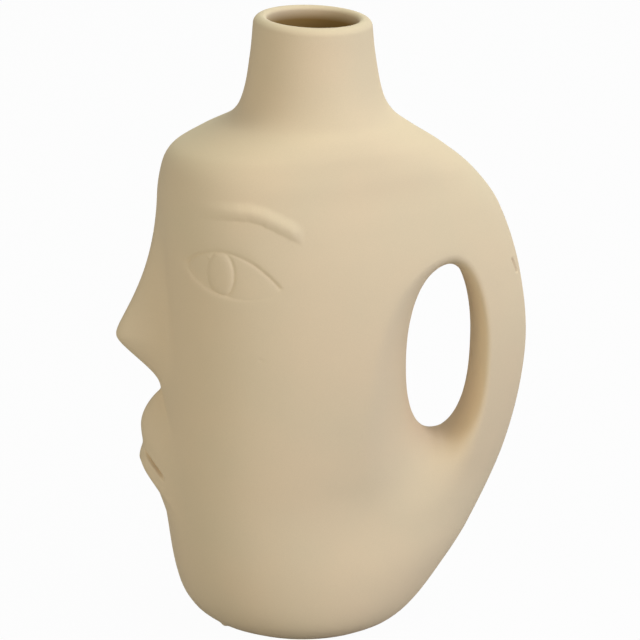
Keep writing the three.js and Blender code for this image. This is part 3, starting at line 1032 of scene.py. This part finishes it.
def soft_lamp(name, turn, rise, size, power, colour):
    """Soft square lamp at a turn round the vase and a rise above the floor, turned to its middle."""
    light = bpy.data.lights.new(name, "AREA")
    light.size = size
    light.energy = power
    light.color = colour
    lamp = bpy.data.objects.new(name, light)
    away = outward(turn, rise)
    lamp.location = Vector((0, 0, HEIGHT / 2)) + LAMP_DISTANCE * away
    lamp.rotation_euler = (-away).to_track_quat("-Z", "Y").to_euler()
    bpy.context.scene.collection.objects.link(lamp)


def white_for_camera(tree, shader, white, share):
    """Mixes white into a shader for what the camera and clear reflections see."""
    link = tree.links.new
    path = add_node(tree, "ShaderNodeLightPath")
    seen = add_node(tree, "ShaderNodeMath", operation="MAXIMUM")
    link(path.outputs["Is Camera Ray"], seen.inputs[0])
    link(path.outputs["Is Glossy Ray"], seen.inputs[1])
    either = add_node(tree, "ShaderNodeMath", operation="MAXIMUM")
    link(seen.outputs["Value"], either.inputs[0])
    link(path.outputs["Is Transmission Ray"], either.inputs[1])
    part = add_node(tree, "ShaderNodeMath", operation="MULTIPLY")
    part.inputs[1].default_value = share
    link(either.outputs["Value"], part.inputs[0])
    mix = add_node(tree, "ShaderNodeMixShader")
    link(part.outputs["Value"], mix.inputs["Fac"])
    link(shader, mix.inputs[1])
    link(white, mix.inputs[2])
    return mix.outputs["Shader"]


class VASE_OT_studio(bpy.types.Operator):
    """Sets the pale floor, the soft lamps, the even sky and the camera"""

    bl_idname = "vase.studio"
    bl_label = "Studio"

    def execute(self, context):
        scene = context.scene
        studio = scene.vase_studio
        scene.view_settings.view_transform = "Standard"

        bm = bmesh.new()
        bmesh.ops.create_grid(bm, x_segments=1, y_segments=1, size=FLOOR_HALF)
        paper = bpy.data.materials.new("pale_floor")
        paper.use_nodes = True
        tree = paper.node_tree
        shader = tree.nodes["Principled BSDF"]
        shader.inputs["Base Color"].default_value = (FLOOR_GREY, FLOOR_GREY, FLOOR_GREY, 1)
        shader.inputs["Roughness"].default_value = 1.0
        glow = add_node(tree, "ShaderNodeEmission", Strength=1.0)
        seen = white_for_camera(tree, shader.outputs["BSDF"], glow.outputs["Emission"], FLOOR_WHITE)
        tree.links.new(seen, tree.nodes["Material Output"].inputs["Surface"])
        floor = finish_mesh(bm, "floor", paper)

        world = bpy.data.worlds.new("even_sky")
        scene.world = world
        world.use_nodes = True
        tree = world.node_tree
        even = tree.nodes["Background"]
        even.inputs["Color"].default_value = SKY_TINT
        even.inputs["Strength"].default_value = studio.sky
        white = add_node(tree, "ShaderNodeBackground", Color=(1.0, 1.0, 1.0, 1.0), Strength=1.0)
        seen = white_for_camera(tree, even.outputs["Background"], white.outputs["Background"], 1.0)
        tree.links.new(seen, tree.nodes["World Output"].inputs["Surface"])

        lamps = (
            ("key", 47, 25, 0.9, studio.key_power, (0.95, 0.945, 1.0)),
            ("front", -46, 18, 0.8, studio.front_power, (1.0, 0.91, 0.68)),
            ("back", 165, 30, 0.9, studio.back_power, (1.0, 1.0, 1.0)),
            ("top", 100, 70, 0.7, studio.top_power, (0.9, 1.0, 0.82)),
        )
        for name, turn, rise, size, power, colour in lamps:
            soft_lamp(name, math.radians(turn), math.radians(rise), size, power, colour)

        away = outward(studio.azimuth, studio.elevation)
        data = bpy.data.cameras.new("photo_camera")
        data.lens = studio.lens
        camera = bpy.data.objects.new("photo_camera", data)
        camera.location = Vector(CAMERA_AIM) + away * studio.distance
        camera.rotation_euler = (-away).to_track_quat("-Z", "Y").to_euler()
        scene.collection.objects.link(camera)
        scene.camera = camera
        return {"FINISHED"}


class VASE_PT_panel(bpy.types.Panel):
    """Lists the vase's pieces and their sizes"""

    bl_idname = "VASE_PT_panel"
    bl_label = "Face vase"
    bl_space_type = "VIEW_3D"
    bl_region_type = "UI"
    bl_category = "Vase"

    def draw(self, context):
        layout = self.layout
        for operator in (VASE_OT_fired_body, VASE_OT_glaze_lining, VASE_OT_studio):
            layout.operator(operator.bl_idname)
        for group in (context.scene.vase_sizes, context.scene.vase_finish, context.scene.vase_studio):
            for name in group.__annotations__:
                layout.prop(group, name)


CLASSES = (
    VaseSizes,
    VaseFinish,
    VaseStudio,
    VASE_OT_fired_body,
    VASE_OT_glaze_lining,
    VASE_OT_studio,
    VASE_PT_panel,
)


def register():
    for cls in CLASSES:
        bpy.utils.register_class(cls)
    bpy.types.Scene.vase_sizes = PointerProperty(type=VaseSizes)
    bpy.types.Scene.vase_finish = PointerProperty(type=VaseFinish)
    bpy.types.Scene.vase_studio = PointerProperty(type=VaseStudio)


def unregister():
    del bpy.types.Scene.vase_studio
    del bpy.types.Scene.vase_finish
    del bpy.types.Scene.vase_sizes
    for cls in reversed(CLASSES):
        bpy.utils.unregister_class(cls)


def main():
    register()
    bpy.ops.vase.fired_body()
    bpy.ops.vase.glaze_lining()
    bpy.ops.vase.studio()


if __name__ == "__main__":
    main()
